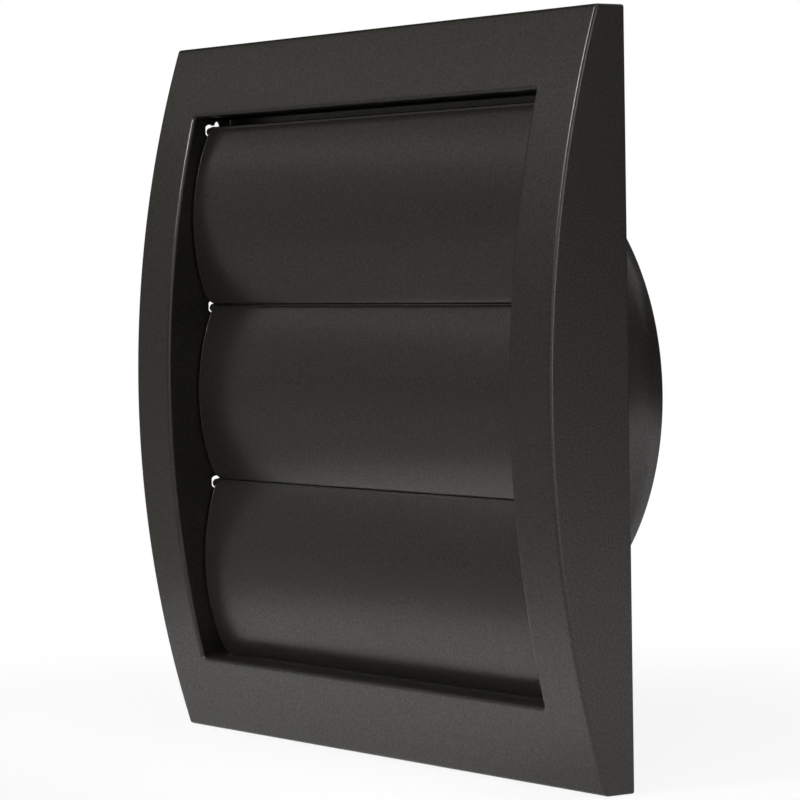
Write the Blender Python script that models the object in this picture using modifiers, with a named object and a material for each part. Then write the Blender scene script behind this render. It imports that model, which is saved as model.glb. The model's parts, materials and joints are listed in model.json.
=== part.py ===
# Exhaust hood vent: a square wall cowl with a bowed front, a round duct spigot and three gravity flaps.
# Metres, +Z up. The wall is the plane y = 0, the front faces -Y and the spigot runs back along +Y.
# The origin lies on the duct's axis in the wall plane.

import math

import bmesh
import bpy
from mathutils import Matrix, Vector

# Spigot
SPIGOT_RADIUS = 0.06185      # outside, for a 125 mm duct
SPIGOT_WALL = 0.0020
SPIGOT_LENGTH = 0.0341       # behind the wall plane
LEAD_IN_LENGTH = 0.0042      # the last stretch narrows so that the duct slips on
LEAD_IN_DROP = 0.00145
RIM_ROUND = 0.0003
SPIGOT_STEPS = 96

# Box and its opening, which stand round the spigot
SPIGOT_MARGIN = 0.0122       # from the spigot's outside to the opening's sides
OPENING_ROUND = 0.0010       # fillet where the front turns into the opening
BOX_WALL = 0.0018
BACK_PLATE = 0.0020

# Frame round the opening
SIDE_BORDER = 0.01595
TOP_BORDER = 0.01825
BOTTOM_BORDER = 0.01935
EDGE_DEPTH = 0.0080          # from the wall to the front face at its top and bottom edges
BOW_RISE = 0.0146            # how much further the face stands out at mid height
SKIN = 0.0022                # wall of the outer shell
EDGE_ROUND = 0.0006          # rounding of the outer edges
RIB_THICKNESS = 0.0014       # one rib across the hollow rim in the middle of each side
RIB_SETBACK = 0.0030         # from the wall plane
BOW_STEPS = 36

# Flaps: one moulding, used once for each name
FLAP_NAMES = ("flap_upper", "flap_middle", "flap_lower")
FLAP_LEANS = (2.4, 0.5, -2.2)  # degrees that each lower edge hangs forward of plumb
FLAP_AXIS_DEPTH = 0.0081     # pin axes in front of the wall plane
TOP_AXIS_DROP = 0.0041       # the highest pin axis below the opening's top
FLAP_LAP = 0.00125           # each flap's lower edge above the next pin axis
SILL_GAP = 0.0008            # under the lowest flap
FLAP_RADIUS = 0.0563         # of the bulging front surface
FLAP_BELLY_RISE = 0.00066    # the bulge's furthest point above the flap's middle
FLAP_SHIFT = 0.00085         # front surface ahead of the pin axis, along the bulge's radius
FLAP_THICKNESS = 0.0011
FLAP_END_GAP = 0.00075       # flap to side wall, each end
FLAP_CORNER = 0.0025         # rounding of the two lower corners
FLAP_STEPS = 20

# Bar along the top of each flap
BAR_RADIUS = 0.00036
BAR_TOP = 0.00135            # above the pin axis
BAR_SETBACK = 0.00018        # its foremost line behind the pin axis
GROOVE_TOP = 0.00085
GROOVE_MIDDLE = 0.00068
GROOVE_DEPTH = 0.00030
SHEET_TOP = 0.00050          # top of the curved sheet, above the pin axis
SHEET_SHOULDER = 0.00030

# Pins and their slots
PIN_RADIUS = 0.00095
PIN_REACH = 0.0008           # past the box wall
PIN_STEPS = 24
SEAT_RADIUS = 0.0016
SEAT_GAP = 0.0003            # under the pin
SEAT_PLAY = 0.00105          # ahead of the pin
SLOT_RUN = 0.0023            # from the seat back to the entry
ENTRY_WIDTH = 0.0024
ENTRY_TOP = 0.0029           # above the pin axis
SEAT_STEPS = 12

# Sill stop behind the lowest flap, and fixing holes in the back plate
STOP_HEIGHT = 0.0022
STOP_THICKNESS = 0.0015
STOP_GAP = 0.0003
FIXING_RADIUS = 0.00225
FIXING_INSET = 0.0082        # hole centres in from the box's side walls
FIXING_STEPS = 16

OVERCUT = 0.001              # how far a cutter passes the face it opens
JOIN = 0.0004                # how deep a joined piece starts inside its neighbour
MERGE = 0.000001

HALF_OPENING = SPIGOT_RADIUS + SPIGOT_MARGIN
HALF_BOX = HALF_OPENING + BOX_WALL
HALF_FACE = HALF_OPENING + SIDE_BORDER          # the face is square
OPENING_TOP = HALF_FACE - TOP_BORDER
OPENING_BOTTOM = BOTTOM_BORDER - HALF_FACE
FRONT_DEPTH = EDGE_DEPTH + BOW_RISE
BOW_RADIUS = (HALF_FACE ** 2 + BOW_RISE ** 2) / (2 * BOW_RISE)
BOW_CENTRE_Y = BOW_RADIUS - FRONT_DEPTH
BORE_RADIUS = SPIGOT_RADIUS - SPIGOT_WALL
FLAP_COUNT = len(FLAP_NAMES)
TOP_AXIS_Z = OPENING_TOP - TOP_AXIS_DROP
FLAP_ROOM = TOP_AXIS_Z - OPENING_BOTTOM - SILL_GAP - (FLAP_COUNT - 1) * FLAP_LAP
FLAP_DROP = FLAP_ROOM / FLAP_COUNT              # from a pin axis to the flap's lower edge
FLAP_PITCH = FLAP_DROP + FLAP_LAP
FLAP_BELLY_DROP = FLAP_DROP / 2 - FLAP_BELLY_RISE
FLAP_HALF = HALF_OPENING - FLAP_END_GAP
FLAP_CENTRE_Y = math.sqrt((FLAP_RADIUS - FLAP_SHIFT) ** 2 - FLAP_BELLY_DROP ** 2)
DARK_PLASTIC = (0.060, 0.058, 0.053, 1.0)
FLAP_PLASTIC = (0.056, 0.055, 0.051, 1.0)


def clear_scene():
    for thing in list(bpy.data.objects):
        bpy.data.objects.remove(thing, do_unlink=True)


def collection(name):
    made = bpy.data.collections.get(name) or bpy.data.collections.new(name)
    if name not in bpy.context.scene.collection.children:
        bpy.context.scene.collection.children.link(made)
    return made


def plastic(name, colour, roughness):
    made = bpy.data.materials.new(name)
    made.use_nodes = True
    shader = made.node_tree.nodes["Principled BSDF"]
    shader.inputs["Base Color"].default_value = colour
    shader.inputs["Roughness"].default_value = roughness
    shader.inputs["Metallic"].default_value = 0.0
    return made


def arc(centre, radius, start, end, steps):
    """Points on a circle in a side section, between two angles in degrees, 0 along +y and 90 along +z."""
    angles = [math.radians(start + (end - start) * i / steps) for i in range(steps + 1)]
    return [(centre[0] + radius * math.cos(a), centre[1] + radius * math.sin(a)) for a in angles]


def new_object(name, mesh, home):
    made = bpy.data.objects.new(name, mesh)
    home.objects.link(made)
    return made


def clean(mesh):
    """Welds an outline's loose caps and joins their triangles into one flat face each."""
    work = bmesh.new()
    work.from_mesh(mesh)
    bmesh.ops.remove_doubles(work, verts=work.verts, dist=MERGE)
    bmesh.ops.dissolve_limit(work, angle_limit=math.radians(0.05), verts=work.verts, edges=work.edges)
    bmesh.ops.recalc_face_normals(work, faces=work.faces)
    work.to_mesh(mesh)
    work.free()


def evaluated_mesh(thing):
    seen = thing.evaluated_get(bpy.context.evaluated_depsgraph_get())
    return bpy.data.meshes.new_from_object(seen)


def outline_solid(name, points, half_thickness, turn, home):
    """A flat outline, filled and given thickness along its normal, then turned into place."""
    curve = bpy.data.curves.new(name, "CURVE")
    curve.dimensions = "2D"
    curve.fill_mode = "BOTH"
    curve.extrude = half_thickness
    spline = curve.splines.new("POLY")
    spline.points.add(len(points) - 1)
    for point, (across, up) in zip(spline.points, points):
        point.co = (across, up, 0.0, 1.0)
    spline.use_cyclic_u = True
    guide = new_object(name + "_outline", curve, home)
    bpy.context.view_layer.update()
    mesh = evaluated_mesh(guide)
    bpy.data.objects.remove(guide, do_unlink=True)
    mesh.name = name
    mesh.transform(turn)
    clean(mesh)
    return new_object(name, mesh, home)


# A section drawn in y and z is turned to run along X; a plan drawn in x and z is turned to run along Y.
ALONG_X = Matrix(((0, 0, 1, 0), (1, 0, 0, 0), (0, 1, 0, 0), (0, 0, 0, 1)))
ALONG_Y = Matrix(((1, 0, 0, 0), (0, 0, -1, 0), (0, 1, 0, 0), (0, 0, 0, 1)))


def box(name, low, high, home):
    mesh = bpy.data.meshes.new(name)
    work = bmesh.new()
    bmesh.ops.create_cube(work, size=1.0)
    size = Vector(high) - Vector(low)
    middle = (Vector(high) + Vector(low)) / 2
    bmesh.ops.scale(work, vec=size, verts=work.verts)
    bmesh.ops.translate(work, vec=middle, verts=work.verts)
    work.to_mesh(mesh)
    work.free()
    return new_object(name, mesh, home)


def rod(name, radius, low, high, axis, steps, home):
    """A cylinder between two points on one axis, X or Y."""
    mesh = bpy.data.meshes.new(name)
    work = bmesh.new()
    low, high = Vector(low), Vector(high)
    bmesh.ops.create_cone(work, cap_ends=True, segments=steps, radius1=radius, radius2=radius,
                          depth=(high - low).length)
    turn = Matrix.Rotation(math.radians(90), 4, "Y" if axis == "X" else "X")
    bmesh.ops.transform(work, matrix=Matrix.Translation((low + high) / 2) @ turn, verts=work.verts)
    work.to_mesh(mesh)
    work.free()
    return new_object(name, mesh, home)


def group_solids(name, solids, home):
    """Puts separate solids that don't touch into one object, so that one Boolean cuts them all."""
    work = bmesh.new()
    for solid in solids:
        work.from_mesh(solid.data)
        bpy.data.objects.remove(solid, do_unlink=True)
    mesh = bpy.data.meshes.new(name)
    work.to_mesh(mesh)
    work.free()
    return new_object(name, mesh, home)


def as_cutter(thing):
    thing.hide_render = True
    thing.display_type = "WIRE"
    return thing


def boolean(thing, other, operation):
    made = thing.modifiers.new(operation.lower() + "_" + other.name, "BOOLEAN")
    made.operation = operation
    made.solver = "EXACT"
    made.object = other
    return made


def bake(thing):
    """Replaces an object's mesh by what its modifiers make of it."""
    bpy.context.view_layer.update()
    mesh = evaluated_mesh(thing)
    thing.modifiers.clear()
    old = thing.data
    thing.data = mesh
    bpy.data.meshes.remove(old)


def round_edges(thing, name, width, steps, chosen):
    """Bevels the edges for which chosen(first point, second point) is true."""
    mesh = thing.data
    weights = mesh.attributes.new("bevel_weight_edge", "FLOAT", "EDGE")
    for edge in mesh.edges:
        first, second = (mesh.vertices[i].co for i in edge.vertices)
        weights.data[edge.index].value = 1.0 if chosen(first, second) else 0.0
    made = thing.modifiers.new(name, "BEVEL")
    made.limit_method = "WEIGHT"
    made.width = width
    made.segments = steps
    made.use_clamp_overlap = True


def smooth(thing, degrees=32):
    thing.data.shade_smooth()
    thing.data.set_sharp_from_angle(angle=math.radians(degrees))


def bowed_section(inset, rear):
    """Side section of the cowl, inset from its outside: a flat back at y = rear and an arc in front."""
    half = HALF_FACE - inset
    radius = BOW_RADIUS - inset
    swing = math.degrees(math.asin(half / radius))
    front = arc((BOW_CENTRE_Y, 0.0), radius, 180 - swing, 180 + swing, BOW_STEPS)
    return [(rear, half)] + front + [(rear, -half)]


def flap_axis(index):
    return Vector((0.0, -FLAP_AXIS_DEPTH, TOP_AXIS_Z - index * FLAP_PITCH))


def sheet_y(z, depth_in):
    """How far the flap's curved sheet lies from the pin axis at a height, at a depth into its thickness."""
    return FLAP_CENTRE_Y - math.sqrt((FLAP_RADIUS - depth_in) ** 2 - (z + FLAP_BELLY_DROP) ** 2)


def sheet_curve(top, bottom, depth_in):
    heights = [top + (bottom - top) * i / FLAP_STEPS for i in range(FLAP_STEPS + 1)]
    return [(sheet_y(z, depth_in), z) for z in heights]


def lower_edge_centre():
    """Middle of the flap's rounded lower edge, from the pin axis, in y and z."""
    z = FLAP_THICKNESS / 2 - FLAP_DROP
    return sheet_y(z, FLAP_THICKNESS / 2), z


def flap_section():
    """Section of a flap round its pin axis: bar, groove, bulging sheet, rounded edge, back and pin bead."""
    bar_centre = (BAR_SETBACK + BAR_RADIUS, BAR_TOP - BAR_RADIUS)
    bar = arc(bar_centre, BAR_RADIUS, 0, 180, 6)
    groove = [(BAR_SETBACK, GROOVE_TOP), (BAR_SETBACK + GROOVE_DEPTH, GROOVE_MIDDLE),
              (sheet_y(SHEET_TOP, 0.0) + GROOVE_DEPTH, SHEET_TOP)]
    edge_y, edge_z = lower_edge_centre()
    slope = math.degrees(math.asin((edge_z + FLAP_BELLY_DROP) / (FLAP_RADIUS - FLAP_THICKNESS / 2)))
    front = sheet_curve(SHEET_SHOULDER, edge_z, 0.0)[:-1]
    edge = arc((edge_y, edge_z), FLAP_THICKNESS / 2, 180 - slope, 360 - slope, 8)
    back = sheet_curve(edge_z, -PIN_RADIUS, FLAP_THICKNESS)[1:]
    bar_back = bar_centre[0] + BAR_RADIUS
    bead_end = math.degrees(math.acos(bar_back / PIN_RADIUS))
    bead = arc((0.0, 0.0), PIN_RADIUS, -84, bead_end, 8)
    return bar + groove + front + edge + back + bead


def flap_plan():
    """Front outline that trims a flap's ends and rounds its two lower corners."""
    high = BAR_TOP + OVERCUT
    low = -FLAP_DROP - OVERCUT
    reach = FLAP_HALF
    turn_x = reach - FLAP_CORNER
    turn_z = FLAP_CORNER - FLAP_DROP
    right = arc((turn_x, turn_z), FLAP_CORNER, 0, -78, 8)
    left = [(-x, z) for x, z in reversed(right)]
    return [(reach, high)] + right + [(turn_x, low), (-turn_x, low)] + left + [(-reach, high)]


def make_flap(index, home, cutters, material):
    name = FLAP_NAMES[index]
    flap = outline_solid(name, flap_section(), FLAP_HALF + OVERCUT, ALONG_X, home)
    trim = as_cutter(outline_solid(name + "_trim", flap_plan(), FLAP_RADIUS / 2, ALONG_Y, cutters))
    boolean(flap, trim, "INTERSECT")
    for side in (-1, 1):
        inner = side * (FLAP_HALF - JOIN)
        outer = side * (HALF_BOX + PIN_REACH)
        pin = rod(name + ("_pin_right" if side > 0 else "_pin_left"), PIN_RADIUS * 0.995,
                  (inner, 0, 0), (outer, 0, 0), "X", PIN_STEPS, cutters)
        boolean(flap, as_cutter(pin), "UNION")
    bake(flap)
    flap.data.materials.clear()
    flap.data.materials.append(material)
    smooth(flap)
    flap.location = flap_axis(index)
    flap.rotation_euler.x = -math.radians(FLAP_LEANS[index])
    return flap


def slot_outline(axis):
    """Slot for one pin in y and z: a round seat, a level run back from it and an entry that rises."""
    seat_y = axis.y - PIN_RADIUS - SEAT_PLAY + SEAT_RADIUS
    seat_z = axis.z - PIN_RADIUS - SEAT_GAP + SEAT_RADIUS
    rear_y = seat_y + SLOT_RUN
    front = arc((seat_y, seat_z), SEAT_RADIUS, 90, 270, SEAT_STEPS)
    heel = arc((rear_y, seat_z), SEAT_RADIUS, 270, 360, SEAT_STEPS // 2)
    top = axis.z + ENTRY_TOP
    wide = rear_y + SEAT_RADIUS
    narrow = wide - ENTRY_WIDTH
    half = ENTRY_WIDTH / 2
    crown = arc((narrow + half, top - half), half, 0, 180, 6)
    return front + heel + crown + [(narrow, seat_z + SEAT_RADIUS)]


def make_spigot(cutters):
    """The spigot, still solid, turned round the duct's axis. It starts inside the back plate."""
    tip = SPIGOT_RADIUS - LEAD_IN_DROP
    profile = [(0.0, SPIGOT_LENGTH), (tip - RIM_ROUND, SPIGOT_LENGTH), (tip, SPIGOT_LENGTH - RIM_ROUND),
               (SPIGOT_RADIUS, SPIGOT_LENGTH - LEAD_IN_LENGTH), (SPIGOT_RADIUS, -BACK_PLATE / 2),
               (0.0, -BACK_PLATE / 2)]
    work = bmesh.new()
    points = [work.verts.new((radius, 0.0, along)) for radius, along in profile]
    for first, second in zip(points, points[1:]):
        work.edges.new((first, second))
    mesh = bpy.data.meshes.new("spigot")
    work.to_mesh(mesh)
    work.free()
    spigot = new_object("spigot", mesh, cutters)
    turn = spigot.modifiers.new("turn", "SCREW")
    turn.axis = "Z"
    turn.angle = math.tau
    turn.steps = turn.render_steps = SPIGOT_STEPS
    turn.use_merge_vertices = True
    turn.merge_threshold = MERGE * 10
    bake(spigot)
    spigot.data.transform(Matrix.Rotation(math.radians(-90), 4, "X"))
    return spigot


def make_rim_hollow(cutters):
    """The rim's hollow: all inside the skin and outside the box, but for one rib in the middle of each side."""
    top, bottom = OPENING_TOP + BOX_WALL, OPENING_BOTTOM - BOX_WALL
    front = -FRONT_DEPTH - OVERCUT
    hollow = outline_solid("rim_hollow", bowed_section(SKIN, OVERCUT), HALF_FACE - SKIN, ALONG_X, cutters)
    core = box("box_core", (-HALF_BOX, front, bottom), (HALF_BOX, 2 * OVERCUT, top), cutters)
    boolean(hollow, as_cutter(core), "DIFFERENCE")
    half_rib = RIB_THICKNESS / 2
    reach = HALF_FACE + OVERCUT
    spans = {
        "level_ribs": ((-reach, front, -half_rib), (reach, -RIB_SETBACK, half_rib)),
        "upright_ribs": ((-half_rib, front, -reach), (half_rib, -RIB_SETBACK, reach)),
    }
    for name, (low, high) in spans.items():
        boolean(hollow, as_cutter(box(name, low, high, cutters)), "DIFFERENCE")
    bake(hollow)
    return hollow


def add_sill_stop(housing, cutters):
    """A low stop on the sill, just behind the lowest flap's rounded edge."""
    axis = flap_axis(FLAP_COUNT - 1)
    lean = math.radians(FLAP_LEANS[-1])
    edge_y, edge_z = lower_edge_centre()
    edge_back = axis.y + edge_y * math.cos(lean) + edge_z * math.sin(lean) + FLAP_THICKNESS / 2
    front = edge_back + STOP_GAP
    stop = box("sill_stop", (-HALF_OPENING - JOIN, front, OPENING_BOTTOM - JOIN),
               (HALF_OPENING + JOIN, front + STOP_THICKNESS, OPENING_BOTTOM + STOP_HEIGHT), cutters)
    boolean(housing, as_cutter(stop), "UNION")


def make_pin_slots(cutters):
    """A slot for each pin, through both side walls of the box."""
    slots = []
    for index in range(FLAP_COUNT):
        outline = slot_outline(flap_axis(index))
        for side in (-1, 1):
            slot = outline_solid("slot", outline, (BOX_WALL + OVERCUT) / 2, ALONG_X, cutters)
            slot.data.transform(Matrix.Translation((side * (HALF_OPENING + BOX_WALL / 2), 0, 0)))
            slots.append(slot)
    return group_solids("pin_slots", slots, cutters)


def make_bore(cutters):
    """The duct's way through the spigot and the back plate."""
    front, rear = (0.0, -BACK_PLATE - OVERCUT, 0.0), (0.0, SPIGOT_LENGTH + OVERCUT, 0.0)
    return rod("bore", BORE_RADIUS, front, rear, "Y", SPIGOT_STEPS, cutters)


def make_fixing_holes(cutters):
    """A plain screw hole in each corner of the back plate."""
    holes = []
    for x in (FIXING_INSET - HALF_OPENING, HALF_OPENING - FIXING_INSET):
        for z in (OPENING_BOTTOM + FIXING_INSET, OPENING_TOP - FIXING_INSET):
            front, rear = (x, -BACK_PLATE - OVERCUT, z), (x, OVERCUT, z)
            holes.append(rod("fixing", FIXING_RADIUS, front, rear, "Y", FIXING_STEPS, cutters))
    return group_solids("fixing_holes", holes, cutters)


def is_outer_edge(first, second):
    """True along the cowl's outer edges, apart from those that lie on the wall."""
    wall = -MERGE * 10
    ends = (first, second)
    on_sides = all(abs(abs(p.x) - HALF_FACE) < MERGE for p in ends) and first.x * second.x > 0
    on_brow = all(abs(abs(p.z) - HALF_FACE) < MERGE and p.y < wall for p in ends) and first.z * second.z > 0
    on_wall = all(p.y > wall for p in ends)
    return (on_sides or on_brow) and not on_wall


def is_opening_edge(first, second):
    """True along the edges where the bowed front meets the opening's walls."""
    ends = (first, second)
    on_face = all(abs(math.hypot(p.y - BOW_CENTRE_Y, p.z) - BOW_RADIUS) < EDGE_ROUND / 4 for p in ends)
    on_sides = all(abs(abs(p.x) - HALF_OPENING) < MERGE for p in ends)
    on_top = all(abs(p.z - OPENING_TOP) < MERGE for p in ends)
    on_sill = all(abs(p.z - OPENING_BOTTOM) < MERGE for p in ends)
    return on_face and (on_sides or on_top or on_sill)


def make_housing(home, cutters, material):
    housing = outline_solid("cowl_housing", bowed_section(0.0, 0.0), HALF_FACE, ALONG_X, home)
    round_edges(housing, "outer edges", EDGE_ROUND, 2, is_outer_edge)
    opening = box("opening", (-HALF_OPENING, -FRONT_DEPTH - OVERCUT, OPENING_BOTTOM),
                  (HALF_OPENING, -BACK_PLATE, OPENING_TOP), cutters)
    for cutter in (make_rim_hollow(cutters), opening):
        boolean(housing, as_cutter(cutter), "DIFFERENCE")
    bake(housing)
    round_edges(housing, "opening edges", OPENING_ROUND, 3, is_opening_edge)
    boolean(housing, as_cutter(make_spigot(cutters)), "UNION")
    add_sill_stop(housing, cutters)
    for cutter in (make_bore(cutters), make_fixing_holes(cutters), make_pin_slots(cutters)):
        boolean(housing, as_cutter(cutter), "DIFFERENCE")
    bake(housing)
    housing.data.materials.clear()
    housing.data.materials.append(material)
    smooth(housing)
    return housing


def main():
    clear_scene()
    home = collection("exhaust_hood_vent")
    cutters = collection("cutters")
    make_housing(home, cutters, plastic("cowl_plastic", DARK_PLASTIC, 0.5))
    flap_plastic = plastic("flap_plastic", FLAP_PLASTIC, 0.45)
    for index in range(FLAP_COUNT):
        make_flap(index, home, cutters, flap_plastic)


main()
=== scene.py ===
import json
import math

import bmesh
import bpy
import numpy as np
from mathutils import Matrix, Vector


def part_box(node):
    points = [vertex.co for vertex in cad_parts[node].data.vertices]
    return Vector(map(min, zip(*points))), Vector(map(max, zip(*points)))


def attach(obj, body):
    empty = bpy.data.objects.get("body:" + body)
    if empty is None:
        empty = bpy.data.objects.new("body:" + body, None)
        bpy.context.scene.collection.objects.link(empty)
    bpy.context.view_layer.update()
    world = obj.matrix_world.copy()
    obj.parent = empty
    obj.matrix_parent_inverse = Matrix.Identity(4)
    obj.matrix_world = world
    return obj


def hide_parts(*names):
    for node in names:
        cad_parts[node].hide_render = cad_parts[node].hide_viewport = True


# Looks of a square wall cowl with three gravity flaps, in metres. The wall is y = 0, and the front faces -Y.

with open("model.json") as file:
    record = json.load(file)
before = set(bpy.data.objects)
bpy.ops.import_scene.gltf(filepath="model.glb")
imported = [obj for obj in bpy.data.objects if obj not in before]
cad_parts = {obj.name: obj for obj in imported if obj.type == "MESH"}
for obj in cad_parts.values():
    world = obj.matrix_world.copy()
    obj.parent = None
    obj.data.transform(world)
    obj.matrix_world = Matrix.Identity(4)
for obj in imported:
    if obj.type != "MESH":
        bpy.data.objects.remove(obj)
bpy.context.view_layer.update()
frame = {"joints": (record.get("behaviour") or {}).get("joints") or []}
cowlLow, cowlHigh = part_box("cowl_housing")
jointPlaces = {joint["name"]: Vector(joint["pos_m"]) for joint in frame["joints"]}
# an edge stays sharp past this angle in degrees, and points within this reach are welded
shading = {"sharpAngle": 33, "weldReach": 1e-7}


# Shapes

def arcPoints(centre, radius, start, end, count):
    # centre + radius (cos a, sin a), with a in even steps between two angles in degrees
    angles = np.radians(np.linspace(start, end, count))
    return np.column_stack([centre[0] + radius * np.cos(angles), centre[1] + radius * np.sin(angles)])


def softened(points, rounds):
    # corner cutting: each pass swaps an inner corner for two points, a quarter of the way along its edges
    for _ in range(rounds):
        near = points[:-1] * 0.75 + points[1:] * 0.25
        far = points[:-1] * 0.25 + points[1:] * 0.75
        inner = np.stack([near, far], 1).reshape(-1, 2)
        points = np.vstack([points[:1], inner[1:-1], points[-1:]])
    return points


def gridFaces(along, around, closed):
    # quads between a grid's neighbours: every row closes on itself, and the last meets the first if closed
    row = np.arange(along if closed else along - 1)[:, None]
    column = np.arange(around)[None, :]
    rowNext, columnNext = (row + 1) % along, (column + 1) % around
    corners = (row * around + column, row * around + columnNext,
               rowNext * around + columnNext, rowNext * around + column)
    return np.stack(np.broadcast_arrays(*corners), -1).reshape(-1, 4)


def meshPiece(name, points, faces):
    # an object at the origin whose place is in its mesh
    mesh = bpy.data.meshes.new(name)
    mesh.from_pydata(points.reshape(-1, 3).tolist(), [], faces)
    mesh.validate()
    outward(mesh)
    made = bpy.data.objects.new(name, mesh)
    bpy.context.scene.collection.objects.link(made)
    return made


def outward(mesh):
    # doubles merged, then every face turned to the outside, where the volume counts as positive
    work = bmesh.new()
    work.from_mesh(mesh)
    bmesh.ops.remove_doubles(work, verts=work.verts, dist=shading["weldReach"])
    bmesh.ops.recalc_face_normals(work, faces=work.faces)
    if work.calc_volume(signed=True) < 0:
        bmesh.ops.reverse_faces(work, faces=work.faces)
    work.to_mesh(mesh)
    work.free()


def closedTube(name, rows):
    # a surface through equal closed rows, capped at both ends by one flat face each
    rows = np.asarray(rows)
    along, around = rows.shape[:2]
    faces = gridFaces(along, around, False).tolist()
    faces += [list(range(around)), list(range((along - 1) * around, along * around))]
    return meshPiece(name, rows, faces)


def prismAlongX(name, outline, fromX, toX):
    # an outline in y and z, moved straight along X
    rows = [np.column_stack([np.full(len(outline), x), outline]) for x in (fromX, toX)]
    return closedTube(name, rows)


def turnedAlong(name, axis, centre, profile, steps):
    # a profile of (radius, place along the axis) turned once round it
    angles = np.linspace(0, 2 * np.pi, steps, endpoint=False)
    radius, along = np.asarray(profile).T
    ring = np.stack([np.cos(angles), np.sin(angles)], -1)
    side = radius[:, None, None] * ring[None]
    rows = np.empty((len(radius), steps, 3))
    others = [i for i in range(3) if i != axis]
    rows[..., axis] = along[:, None] + centre[axis]
    rows[..., others[0]] = side[..., 0] + centre[others[0]]
    rows[..., others[1]] = side[..., 1] + centre[others[1]]
    return closedTube(name, rows)


def combine(piece, other, operation):
    # the piece joined with or cut by another closed form, which is then removed
    step = piece.modifiers.new(operation.lower(), "BOOLEAN")
    step.operation, step.solver, step.object = operation, "MANIFOLD", other
    bpy.context.view_layer.update()
    seen = piece.evaluated_get(bpy.context.evaluated_depsgraph_get())
    made = bpy.data.meshes.new_from_object(seen)
    piece.modifiers.clear()
    piece.data = made
    bpy.data.objects.remove(other, do_unlink=True)


def dress(piece, material, slot, body, *nodes):
    # the finished piece gets its material, smooth shading and body, and its CAD nodes are hidden; the slot is
    # not used
    piece.data.materials.clear()
    piece.data.materials.append(material)
    piece.data.shade_smooth()
    piece.data.set_sharp_from_angle(angle=math.radians(shading["sharpAngle"]))
    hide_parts(*nodes)
    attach(piece, body)
    print("dressed", piece.name, len(piece.data.polygons), "faces")


# Shader recipes

class Value:
    # a number that a node gives, which Python's operators can work with
    def __init__(self, recipe, socket):
        self.recipe, self.socket = recipe, socket

    def maths(self, operation, first, second):
        return self.recipe.add("ShaderNodeMath", {"operation": operation}, {0: first, 1: second})

    def __add__(self, other):
        return self.maths("ADD", self, other)

    def __radd__(self, other):
        return self.maths("ADD", other, self)

    def __sub__(self, other):
        return self.maths("SUBTRACT", self, other)

    def __rsub__(self, other):
        return self.maths("SUBTRACT", other, self)

    def __mul__(self, other):
        return self.maths("MULTIPLY", self, other)

    def __rmul__(self, other):
        return self.maths("MULTIPLY", other, self)


class Recipe:
    # a material's or a world's nodes, all made by one method
    def __init__(self, owner, shader, end):
        owner.use_nodes = True
        self.tree = owner.node_tree
        self.shader, self.end = self.tree.nodes[shader], self.tree.nodes[end]

    def add(self, kind, settings=None, inputs=None, output=0):
        node = self.tree.nodes.new(kind)
        for key, value in (settings or {}).items():
            if key == "stops":
                for element, (place, level) in zip(node.color_ramp.elements, value):
                    element.position, element.color = place, (level, level, level, 1)
            else:
                setattr(node, key, value)
        for key, value in (inputs or {}).items():
            self.put(node.inputs[key], value)
        return Value(self, node.outputs[output])

    def put(self, socket, value):
        if isinstance(value, Value):
            self.tree.links.new(value.socket, socket)
        else:
            socket.default_value = value

    def fix(self, values):
        # the shader's own sockets that are the same all over the surface
        for key, value in values.items():
            self.shader.inputs[key].default_value = value

    def noise(self, coordinates, pattern):
        scale, detail, roughness = pattern
        return self.add("ShaderNodeTexNoise", {}, {"Vector": coordinates, "Scale": scale, "Detail": detail,
                                                   "Roughness": roughness})

    def whiteTo(self, share, white):
        # the shader where light falls on it, and the given share of plain white where the camera looks
        own = Value(self, self.shader.outputs[0])
        mixed = self.add("ShaderNodeMixShader", {}, {0: share, 1: own, 2: white})
        self.put(self.end.inputs["Surface"], mixed)


def materialRecipe(name):
    material = bpy.data.materials.new(name)
    return material, Recipe(material, "Principled BSDF", "Material Output")


def erodedPlastic(name, look):
    # dark moulded plastic: a fine spark-eroded grain over broad, faint changes of gloss and tone
    material, recipe = materialRecipe(name)
    place = recipe.add("ShaderNodeTexCoord", output="Object")
    grain = recipe.noise(place, look["grain"])
    broad = recipe.noise(place, look["cloud"])
    fleck = recipe.add("ShaderNodeValToRGB", {"stops": ((look["fleckFrom"], 0.0), (look["fleckFull"], 1.0))},
                       {"Fac": recipe.noise(place, look["fleck"])})
    tone = (0.5 + (broad - 0.5) * look["cloudTone"] + (grain - 0.5) * look["grainTone"]
            + fleck * look["fleckTone"])
    colour = recipe.add("ShaderNodeMix", {"data_type": "RGBA"},
                        {0: tone, 6: look["dark"], 7: look["light"]}, output=2)
    recipe.put(recipe.shader.inputs["Base Color"], colour)
    recipe.put(recipe.shader.inputs["Roughness"], look["roughness"] + (broad - 0.5) * look["cloudGloss"])
    bump = recipe.add("ShaderNodeBump", {}, {"Strength": look["bump"], "Distance": look["grainDepth"],
                                             "Height": grain})
    recipe.put(recipe.shader.inputs["Normal"], bump)
    skin = look["skin"] + (grain - 0.5) * look["grainSkin"] + fleck * look["fleckSkin"]
    recipe.put(recipe.shader.inputs["Coat Weight"], skin)
    recipe.fix({"Coat Roughness": look["roughness"], "Specular IOR Level": look["gloss"], "IOR": look["ior"]})
    return material


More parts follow.
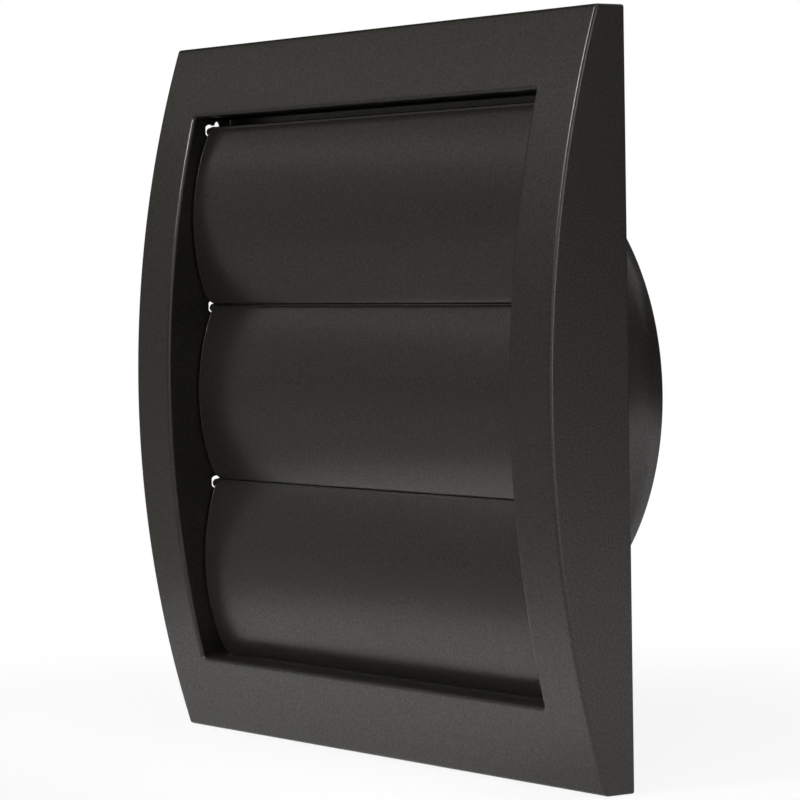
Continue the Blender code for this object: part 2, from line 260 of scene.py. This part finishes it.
cowlLook = {
    "dark": (0.0045, 0.0042, 0.0034, 1), "light": (0.0140, 0.0132, 0.0108, 1),
    # each pattern has its scale per metre, its detail and its roughness
    "grain": (1900, 2.0, 0.6), "cloud": (28, 3.0, 0.55), "fleck": (2600, 2.0, 0.6),
    "fleckFrom": 0.66, "fleckFull": 0.76, "bump": 0.16, "grainDepth": 0.00003,
    "cloudTone": 0.15, "grainTone": 0.7, "fleckTone": 0.2,  # how much each pattern moves the colour
    "roughness": 0.29, "cloudGloss": 0.02, "ior": 1.50, "gloss": 0.34,
    "skin": 0.32, "grainSkin": 1.5, "fleckSkin": 0.3,  # the thin glossy skin that glints with the grain
}
flapLook = dict(cowlLook, roughness=0.28, bump=0.14)
cowlPlastic = erodedPlastic("cowl plastic", cowlLook)
flapPlastic = erodedPlastic("flap plastic", flapLook)
print("materials made")


# The housing: one closed section carried round the cowl

cowl = {
    "halfFace": cowlHigh.x, "frontDepth": -cowlLow.y, "edgeDepth": 0.0080, "skin": 0.0022,
    "outerRound": 0.0007, "cornerRound": 0.0006, "wallRound": 0.00025,
    "creaseCorner": 0.00012, "skinCorner": 0.0010, "plateCorner": 0.0008, "lipCorner": 0.0008,
    "openingHalf": 0.07405, "openingTop": 0.0713, "openingBottom": -0.07065, "openingRound": 0.0010,
    "openingCorner": 0.0006, "boxWall": 0.0018, "backPlate": 0.0020, "plateFillet": 0.0006,
    "spigotRadius": 0.06185, "spigotWall": 0.0020, "spigotLength": cowlHigh.y, "leadIn": 0.0042,
    "leadInDrop": 0.00145, "rimRound": 0.00026, "lip": 0.0005, "lipDepth": 0.0018, "lipSlope": 0.0012,
    "sideSteps": 96, "cornerSteps": 7,
    "ribHalf": 0.0007, "ribSetback": 0.0030, "ribRound": 0.0002, "sink": 0.0004,
    "stopHeight": 0.0022, "stopFront": -0.005535, "stopBack": -0.004035, "stopRound": 0.0003,
    "screwRadius": 0.00225, "screwAcross": 0.06585, "screwHeights": (-0.06245, 0.06355), "screwSides": 48,
}
bowRise = cowl["frontDepth"] - cowl["edgeDepth"]
bowRadius = (cowl["halfFace"] ** 2 + bowRise ** 2) / (2 * bowRise)
bowCentre = bowRadius - cowl["frontDepth"]


def paneTemplate(sideSteps, cornerSteps):
    # each point of a rounded rectangle is a mix of its four corner centres,
    # plus the corner radius times a direction
    weights, directions = [], []
    for corner in range(4):
        turn = np.radians(90 * corner + np.linspace(0, 90, cornerSteps))
        weight = np.zeros((cornerSteps, 4))
        weight[:, corner] = 1
        weights.append(weight)
        directions.append(np.column_stack([np.cos(turn), np.sin(turn)]))
        share = np.linspace(0, 1, sideSteps + 1)[1:-1]
        weight = np.zeros((len(share), 4))
        weight[:, corner], weight[:, (corner + 1) % 4] = 1 - share, share
        weights.append(weight)
        directions.append(np.tile(directions[-1][-1], (len(share), 1)))
    return np.vstack(weights), np.vstack(directions)


paneWeights, paneDirections = paneTemplate(cowl["sideSteps"], cowl["cornerSteps"])


def pane(half, top, bottom, corner):
    # a rounded rectangle in x and z
    centres = np.array([(half - corner, top - corner), (corner - half, top - corner),
                        (corner - half, bottom + corner), (half - corner, bottom + corner)])
    return paneWeights @ centres + corner * paneDirections


def squarePane(half, corner):
    return pane(half, half, -half, corner)


def openingPane(outset, corner):
    top, bottom = cowl["openingTop"] + outset, cowl["openingBottom"] - outset
    return pane(cowl["openingHalf"] + outset, top, bottom, corner)


def ringPane(radius):
    # the circle that meets the opening's pane point for point, along lines from the duct's axis
    guide = openingPane(0, cowl["openingCorner"])
    return radius * guide / np.linalg.norm(guide, axis=1, keepdims=True)


def frontLine(points, inset):
    # y = bowCentre - sqrt((bowRadius - inset)^2 - z^2), the bowed face at each point's height
    return bowCentre - np.sqrt((bowRadius - inset) ** 2 - points[:, 1] ** 2)


def cowlRows():
    # one closed section carried round the cowl: out along the spigot, over the plate, the box's outside,
    # the skin's inside, the rim, the front and the opening, and back through the bore
    # a wall starts a little past its fillet
    rows = []

    def add(points, y):
        rows.append(np.column_stack([points[:, 0], np.broadcast_to(y, len(points)), points[:, 1]]))

    def flat(first, second, y, count, ends=(0.0, 1.0)):
        for share in np.linspace(ends[0], ends[1], count):
            add(first * (1 - share) + second * share, y)

    def wall(points, fromY, toY, count):
        for share in np.linspace(0, 1, count):
            add(points, np.asarray(fromY) * (1 - share) + np.asarray(toY) * share)

    c = cowl
    bore = c["spigotRadius"] - c["spigotWall"]
    tip = c["spigotRadius"] - c["leadInDrop"]
    length, r = c["spigotLength"], c["rimRound"]
    for radius, y in np.vstack([arcPoints((bore + r, length - r), r, 180, 90, 4),
                                arcPoints((tip - r, length - r), r, 90, 15, 5)]):
        add(ringPane(radius), y)
    crease = softened(np.array([(tip, length - r), (c["spigotRadius"], length - c["leadIn"]),
                                (c["spigotRadius"], length - 2 * c["leadIn"])]), 3)
    for radius, y in crease[1:]:
        add(ringPane(radius), y)
    f = c["plateFillet"]
    wall(ringPane(c["spigotRadius"]), length - 2.4 * c["leadIn"], f, 8)
    for radius, y in arcPoints((c["spigotRadius"] + f, f), f, 195, 270, 5):
        add(ringPane(radius), y)
    w = c["wallRound"]
    boxOut = c["boxWall"]
    flat(ringPane(c["spigotRadius"] + f), openingPane(boxOut - w, c["plateCorner"]), 0.0, 7, (0.1, 1.0))
    for radius, y in arcPoints((boxOut - w, -w), w, 60, 0, 3):
        add(openingPane(radius, c["skinCorner"]), y)
    boxLine = openingPane(boxOut, c["skinCorner"])
    wall(boxLine, -2 * w, frontLine(boxLine, c["skin"]) + f, 8)
    for outset, back in arcPoints((boxOut + f, f), f, 200, 270, 4):
        points = openingPane(outset, c["skinCorner"])
        add(points, frontLine(points, c["skin"]) + back)
    inner = openingPane(boxOut + f, c["skinCorner"])
    outer = squarePane(c["halfFace"] - c["skin"] - f, c["skinCorner"])
    for share in np.linspace(0.12, 1.0, 8):
        points = inner * (1 - share) + outer * share
        add(points, frontLine(points, c["skin"]))
    for outset, back in arcPoints((-f, f), f, 290, 360, 4):
        points = squarePane(c["halfFace"] - c["skin"] + outset, c["skinCorner"])
        add(points, frontLine(points, c["skin"]) + back)
    skinLine = squarePane(c["halfFace"] - c["skin"], c["skinCorner"])
    wall(skinLine, frontLine(skinLine, c["skin"]) + 1.3 * f, -c["lipDepth"] - c["lipSlope"], 7)
    lipLine = squarePane(c["halfFace"] - c["lip"], c["lipCorner"])
    wall(lipLine, -c["lipDepth"], -w, 3)
    for outset, y in arcPoints((-w, -w), w, 90, 0, 4):
        add(squarePane(c["halfFace"] + outset, c["cornerRound"]), y)
    r = c["outerRound"]
    edge = squarePane(c["halfFace"], c["cornerRound"])
    wall(edge, -2 * w, frontLine(edge, 0) + 1.6 * r, 9)
    for inset, back in arcPoints((r, r), r, 180, 270, 9):
        points = squarePane(c["halfFace"] - inset, max(c["cornerRound"] - inset, c["creaseCorner"]))
        add(points, frontLine(points, 0) + back)
    o = c["openingRound"]
    outer, inner = squarePane(c["halfFace"] - r, c["creaseCorner"]), openingPane(o, c["openingCorner"] + o)
    for share in np.linspace(0, 1, 16)[1:-1]:
        points = outer * (1 - share) + inner * share
        add(points, frontLine(points, 0))
    for outset, back in arcPoints((o, o), o, 270, 180, 10):
        points = openingPane(outset, c["openingCorner"] + outset)
        add(points, frontLine(points, 0) + back)
    line = openingPane(0, c["openingCorner"])
    wall(line, frontLine(line, 0) + 1.5 * o, -c["backPlate"] - f, 9)
    for inset, front in arcPoints((f, f), f, 200, 270, 4):
        add(openingPane(-inset, c["openingCorner"]), -c["backPlate"] - front)
    flat(openingPane(-f, c["openingCorner"]), ringPane(bore + w), -c["backPlate"], 8, (0.08, 1.0))
    for radius, front in arcPoints((bore + w, w), w, 240, 180, 3):
        add(ringPane(radius), -c["backPlate"] + front)
    wall(ringPane(bore), -c["backPlate"] + 2 * w, length - 2 * c["rimRound"], 8)
    return np.array(rows)


rows = cowlRows()
housing = meshPiece("cowl", rows, gridFaces(*rows.shape[:2], True).tolist())
print("cowl shell", rows.shape)


def roundedBar(name, low, high, rounding):
    # a box whose long edges are rounded: a rounded rectangle in y and z carried along X
    weights, directions = paneTemplate(sideSteps=2, cornerSteps=5)
    centres = np.array([(high[1] - rounding, high[2] - rounding), (low[1] + rounding, high[2] - rounding),
                        (low[1] + rounding, low[2] + rounding), (high[1] - rounding, low[2] + rounding)])
    return prismAlongX(name, weights @ centres + rounding * directions, low[0], high[0])


def addStopAndRibs():
    # the sill's low stop, and a rib in the middle of each side that ties the skin to the box
    c = cowl
    stopLow = (-c["openingHalf"] - c["sink"], c["stopFront"], c["openingBottom"] - c["sink"])
    stopHigh = (c["openingHalf"] + c["sink"], c["stopBack"], c["openingBottom"] + c["stopHeight"])
    combine(housing, roundedBar("stop", stopLow, stopHigh, c["stopRound"]), "UNION")
    reach = c["halfFace"] - c["skin"] + c["sink"]
    for side in (-1, 1):
        across = sorted((side * (c["openingHalf"] + c["boxWall"] - c["sink"]), side * reach))
        low = (across[0], -c["frontDepth"] + c["skin"] / 2, -c["ribHalf"])
        high = (across[1], -c["ribSetback"], c["ribHalf"])
        combine(housing, roundedBar("rib", low, high, c["ribRound"]), "UNION")
        inner = c["openingTop"] if side > 0 else -c["openingBottom"]
        upright = sorted((side * (inner + c["boxWall"] - c["sink"]), side * reach))
        depth = frontLine(np.array([(0, reach)]), c["skin"] / 2)[0]
        low = (-c["ribHalf"], depth, upright[0])
        high = (c["ribHalf"], -c["ribSetback"], upright[1])
        combine(housing, roundedBar("rib", low, high, c["ribRound"]), "UNION")


addStopAndRibs()
print("stop and ribs joined")


# Pin slots and screw holes, cut through the walls

slot = {"seatRadius": 0.0016, "run": 0.0023, "entryWidth": 0.0024, "entryTop": 0.0029, "pinRadius": 0.00095,
        "gap": 0.0003, "play": 0.00105, "overcut": 0.001}  # gap and play: below and in front of the CAD's pin


def slotOutline(axis):
    # a round seat, a level run back from it and an entry that rises at its end, in y and z
    s = slot
    curve = s["seatRadius"]
    seat = (axis.y - s["pinRadius"] - s["play"] + curve, axis.z - s["pinRadius"] - s["gap"] + curve)
    rear = (seat[0] + s["run"], seat[1])
    half = s["entryWidth"] / 2
    crown = (rear[0] + curve - half, axis.z + s["entryTop"] - half)
    return np.vstack([arcPoints(seat, curve, 90, 270, 25), arcPoints(rear, curve, 270, 360, 13),
                      arcPoints(crown, half, 0, 180, 17), [(crown[0] - half, seat[1] + curve)]])


for axis in jointPlaces.values():
    for side in (-1, 1):
        ends = sorted((side * (cowl["openingHalf"] - slot["overcut"] / 2),
                       side * (cowl["openingHalf"] + cowl["boxWall"] + slot["overcut"] / 2)))
        combine(housing, prismAlongX("slot", slotOutline(axis), *ends), "DIFFERENCE")
for x in (-1, 1):
    for z in cowl["screwHeights"]:
        centre = (x * cowl["screwAcross"], 0, z)
        profile = [(cowl["screwRadius"], -cowl["backPlate"] - slot["overcut"]),
                   (cowl["screwRadius"], slot["overcut"])]
        combine(housing, turnedAlong("screw", 1, centre, profile, cowl["screwSides"]), "DIFFERENCE")
print("slots and screw holes cut")
dress(housing, cowlPlastic, "cowl_plastic", "housing", "cowl_housing")


# Flaps: one moulding used three times

flap = {
    "radius": 0.0563, "rise": 0.00066, "shift": 0.00085, "thickness": 0.0011, "drop": 0.0450,
    "half": 0.0733, "corner": 0.0025, "endRound": 0.00008, "bead": 0.000945, "beadStart": -80,
    "barRadius": 0.00036, "barTop": 0.00115, "barFront": -0.00075, "barRear": 0.00076,
    "barRise": 0.00020, "barSlope": 14,  # the bar's rear stands higher, and its top slopes by these degrees
    "grooveTop": 0.00070, "grooveMiddle": 0.00060, "grooveBottom": 0.00048, "grooveDepth": 0.00006,
    "shoulder": 0.00030, "pinRadius": 0.0011, "pinRound": 0.0003, "pinRoot": 0.0006, "pinReach": 0.0008,
    "pinSides": 40,
    "cornerSteps": 12, "endSteps": 6, "middleSteps": 30, "sheetSteps": 48, "edgeSteps": 13,
    "bodies": (("upper_flap", "flap_upper", "upper_flap_swing", 2.4, 0.0002),
               ("middle_flap", "flap_middle", "middle_flap_swing", 0.5, 0.0),
               ("lower_flap", "flap_lower", "lower_flap_swing", -2.2, 0.0)),
    # each row ends with the degrees that the lower edge hangs forward, and how much lower it ends
}
bellyDrop = flap["drop"] / 2 - flap["rise"]
flapCentre = math.sqrt((flap["radius"] - flap["shift"]) ** 2 - bellyDrop ** 2)


def sheetLine(z, depth):
    # y = flapCentre - sqrt((radius - depth)^2 - (z + bellyDrop)^2), the bulging sheet at a height
    return flapCentre - np.sqrt((flap["radius"] - depth) ** 2 - (z + bellyDrop) ** 2)


def flapRows(extra):
    # the section from bar to bead at each place along X, whose lower edge rises round the corner near an end
    f = flap
    turn = np.radians(np.linspace(0, 90, f["cornerSteps"]))
    corner = f["half"] - f["corner"] + f["corner"] * np.sin(turn)
    corner = corner[corner < f["half"] - f["endRound"]]
    endTurn = np.radians(np.linspace(0, 90, f["endSteps"]))
    end = f["half"] - f["endRound"] * (1 - np.sin(endTurn))
    middle = np.linspace(0, f["half"] - f["corner"], f["middleSteps"])[1:-1]
    halfX = np.concatenate([middle, corner, end])
    inward = np.concatenate([np.zeros(len(middle) + len(corner)), f["endRound"] * (1 - np.cos(endTurn))])
    x = np.concatenate([-halfX[::-1], [0.0], halfX])
    inset = np.concatenate([inward[::-1], [0.0], inward])
    past = np.clip((np.abs(x) - (f["half"] - f["corner"])) / f["corner"], 0, 1)
    low = -f["drop"] - extra + f["corner"] * (1 - np.sqrt(1 - past ** 2))
    half = f["thickness"] / 2
    edgeZ = low + half
    edgeY = sheetLine(edgeZ, half)
    lean = np.arcsin((edgeZ + bellyDrop) / (f["radius"] - half))
    r, barZ = f["barRadius"], f["barTop"] - f["barRadius"]
    turned = 90 + f["barSlope"]
    bar = np.vstack([arcPoints((f["barRear"] - r, barZ + f["barRise"]), r, 0, turned, 8),
                     arcPoints((f["barFront"] + r, barZ), r, turned, 180, 6)])
    groove = softened(np.array([(f["barFront"], barZ), (f["barFront"], f["grooveTop"]),
                                (f["barFront"] + f["grooveDepth"], f["grooveMiddle"]),
                                (f["barFront"] + f["grooveDepth"], f["grooveBottom"]),
                                (sheetLine(f["shoulder"], 0), f["shoulder"])]), 3)[1:]
    share = np.linspace(0, 1, f["sheetSteps"])[None, 1:-1]
    frontZ = f["shoulder"] + (edgeZ[:, None] - f["shoulder"]) * share
    front = np.stack([sheetLine(frontZ, 0), frontZ], -1)
    swing = np.pi - lean[:, None] + np.pi * np.linspace(0, 1, f["edgeSteps"])[None]
    edge = np.stack([edgeY[:, None] + half * np.cos(swing), edgeZ[:, None] + half * np.sin(swing)], -1)
    backZ = edgeZ[:, None] + (-f["bead"] - edgeZ[:, None]) * share
    back = np.stack([sheetLine(backZ, f["thickness"]), backZ], -1)
    bead = arcPoints((0, 0), f["bead"], f["beadStart"], math.degrees(math.acos(f["barRear"] / f["bead"])), 16)
    fixed = [np.broadcast_to(part, (len(x),) + part.shape) for part in (bar, groove, bead)]
    loop = np.concatenate([fixed[0], fixed[1], front, edge, back, fixed[2]], 1)
    along = np.roll(loop, -1, 1) - np.roll(loop, 1, 1)
    normal = np.stack([along[..., 1], -along[..., 0]], -1)
    normal /= np.linalg.norm(normal, axis=-1, keepdims=True)
    loop = loop + inset[:, None, None] * normal
    return np.concatenate([np.broadcast_to(x[:, None, None], loop.shape[:2] + (1,)), loop], -1)


def makeFlap(body, node, joint, lean, extra):
    # the flap is made about its pins, gets them, leans as it hangs and goes to its joint
    piece = closedTube(node.replace("flap_", "") + "_flap", flapRows(extra))
    f = flap
    for side in (-1, 1):
        inner = side * (f["half"] - f["pinRoot"])
        outer = side * (cowl["openingHalf"] + f["pinReach"])  # past the wall's inner face
        tip = arcPoints((f["pinRadius"] - f["pinRound"], 0), f["pinRound"], 0, 90, 6)
        profile = [(f["pinRadius"], inner)] + [(r, outer - side * (f["pinRound"] - a)) for r, a in tip]
        combine(piece, turnedAlong("pin", 0, (0, 0, 0), profile, f["pinSides"]), "UNION")
    place = Matrix.Translation(jointPlaces[joint]) @ Matrix.Rotation(-math.radians(lean), 4, "X")
    piece.data.transform(place)
    dress(piece, flapPlastic, "flap_plastic", body, node)


for row in flap["bodies"]:
    makeFlap(*row)


# Floor, light and camera

# the camera sees a whiteNear share of plain white up to the near edge, and only white past the far edge
floor = {"drop": 0.0002, "half": 3.0, "colour": (0.50, 0.50, 0.50, 1), "roughness": 0.9,
         "whiteNear": 0.86, "nearEdge": 0.08, "farEdge": 0.32}


def makeFloor():
    # a level square under the cowl, which keeps its shadow and turns to plain white with distance
    z = cowlLow.z - floor["drop"]
    corners = np.array([(-1, -1), (1, -1), (1, 1), (-1, 1)]) * floor["half"]
    points = np.column_stack([corners, np.full(4, z)])
    mesh = bpy.data.meshes.new("floor")
    mesh.from_pydata(points.tolist(), [], [(0, 1, 2, 3)])
    made = bpy.data.objects.new("floor", mesh)
    bpy.context.scene.collection.objects.link(made)
    material, recipe = materialRecipe("floor")
    recipe.fix({"Base Color": floor["colour"], "Roughness": floor["roughness"]})
    white = recipe.add("ShaderNodeEmission", {}, {"Strength": 1.0})
    path = recipe.add("ShaderNodeLightPath", output="Is Camera Ray")
    away = recipe.add("ShaderNodeVectorMath", {"operation": "LENGTH"},
                      {0: recipe.add("ShaderNodeTexCoord", output="Object")}, output="Value")
    share = recipe.add("ShaderNodeMapRange", {"interpolation_type": "SMOOTHSTEP"},
                       {"Value": away, "From Min": floor["nearEdge"], "From Max": floor["farEdge"],
                        "To Min": floor["whiteNear"], "To Max": 1.0})
    recipe.whiteTo(path * share, white)
    mesh.materials.append(material)


makeFloor()

room = {"level": 0.04, "colour": (1, 1, 1, 1), "seenLevel": 1.0}  # a faint even light, seen as plain white


def makeRoom():
    world = bpy.data.worlds.new("room")
    bpy.context.scene.world = world
    recipe = Recipe(world, "Background", "World Output")
    recipe.fix({"Strength": room["level"], "Color": room["colour"]})
    seen = recipe.add("ShaderNodeBackground", {}, {"Strength": room["seenLevel"], "Color": room["colour"]})
    recipe.whiteTo(recipe.add("ShaderNodeLightPath", output="Is Camera Ray"), seen)


makeRoom()

warm, plain = (1.0, 0.975, 0.905), (1.0, 0.965, 0.985)
lamps = {  # place by compass angle from +X, height angle and distance, always aimed at the cowl
    "key": {"compass": 270, "height": 29, "away": 1.5, "size": (0.16, 0.30), "watts": 16.5, "tint": warm},
    "frontFill": {"compass": 315, "height": 8, "away": 1.5, "size": (0.9, 0.9), "watts": 4.2, "tint": warm},
    "leftKey": {"compass": 235, "height": 24, "away": 1.5, "size": (0.5, 0.5), "watts": 1.15, "tint": warm},
    "leftHigh": {"compass": 210, "height": 27, "away": 1.5, "size": (0.45, 0.45), "watts": 0.2, "tint": warm},
    "leftLow": {"compass": 215, "height": 8, "away": 1.5, "size": (0.9, 0.9), "watts": 0.55, "tint": warm},
    "sideFill": {"compass": 10, "height": 8, "away": 1.5, "size": (0.6, 0.6), "watts": 5.8, "tint": warm},
    "backFill": {"compass": 70, "height": 40, "away": 1.5, "size": (0.9, 0.9), "watts": 1.6, "tint": warm},
}
washes = {  # narrow lamps that light the floor beside the cowl, so that it throws light up
    "footWash": {"place": (-0.04, -0.30, 0.30), "aim": (-0.04, -0.045, -0.09), "size": (0.30, 0.05),
                 "spread": 24, "watts": 0.116, "tint": plain},
    "sideWash": {"place": (0.35, 0.22, 0.90), "aim": (0.35, 0.22, 0.0), "size": (0.5, 0.6), "spread": 40,
                 "watts": 2.25, "tint": plain},
}


def makeLamp(name, place, aim, size, watts, tint, spread=180):
    # a rectangular lamp that faces its aim
    light = bpy.data.lights.new(name, "AREA")
    light.shape, light.size, light.size_y = "RECTANGLE", size[0], size[1]
    light.energy, light.color, light.spread = watts, tint, math.radians(spread)
    holder = bpy.data.objects.new(name, light)
    toward = Vector(aim) - Vector(place)
    holder.matrix_world = Matrix.Translation(place) @ toward.to_track_quat("-Z", "Y").to_matrix().to_4x4()
    bpy.context.scene.collection.objects.link(holder)


for name, lamp in lamps.items():
    compass, height = math.radians(lamp["compass"]), math.radians(lamp["height"])
    ray = Vector((math.cos(compass) * math.cos(height), math.sin(compass) * math.cos(height),
                  math.sin(height)))
    makeLamp(name, ray * lamp["away"], (0, 0, 0), lamp["size"], lamp["watts"], lamp["tint"])
for name, wash in washes.items():
    makeLamp(name, wash["place"], wash["aim"], wash["size"], wash["watts"], wash["tint"], wash["spread"])

print("lamps set")

# the photo's view: angles in degrees, the place and clip in metres, lens and sensor in millimetres
camera = {"place": (0.72861, -0.51144, 0.03016), "azimuth": 54.97, "elevation": 2.05, "roll": -0.911,
          "lens": 161.43, "sensor": 36.0, "clip": (0.01, 50)}


def makeCamera():
    data = bpy.data.cameras.new("camera")
    data.lens, data.sensor_width, data.sensor_fit = camera["lens"], camera["sensor"], "HORIZONTAL"
    data.clip_start, data.clip_end = camera["clip"]
    holder = bpy.data.objects.new("camera", data)
    turn = (Matrix.Rotation(math.radians(camera["azimuth"]), 4, "Z")
            @ Matrix.Rotation(math.radians(90 - camera["elevation"]), 4, "X")
            @ Matrix.Rotation(math.radians(camera["roll"]), 4, "Z"))
    holder.matrix_world = Matrix.Translation(camera["place"]) @ turn
    bpy.context.scene.collection.objects.link(holder)
    bpy.context.scene.camera = holder


makeCamera()
bpy.context.scene.view_settings.view_transform = "Standard"
print("camera set")
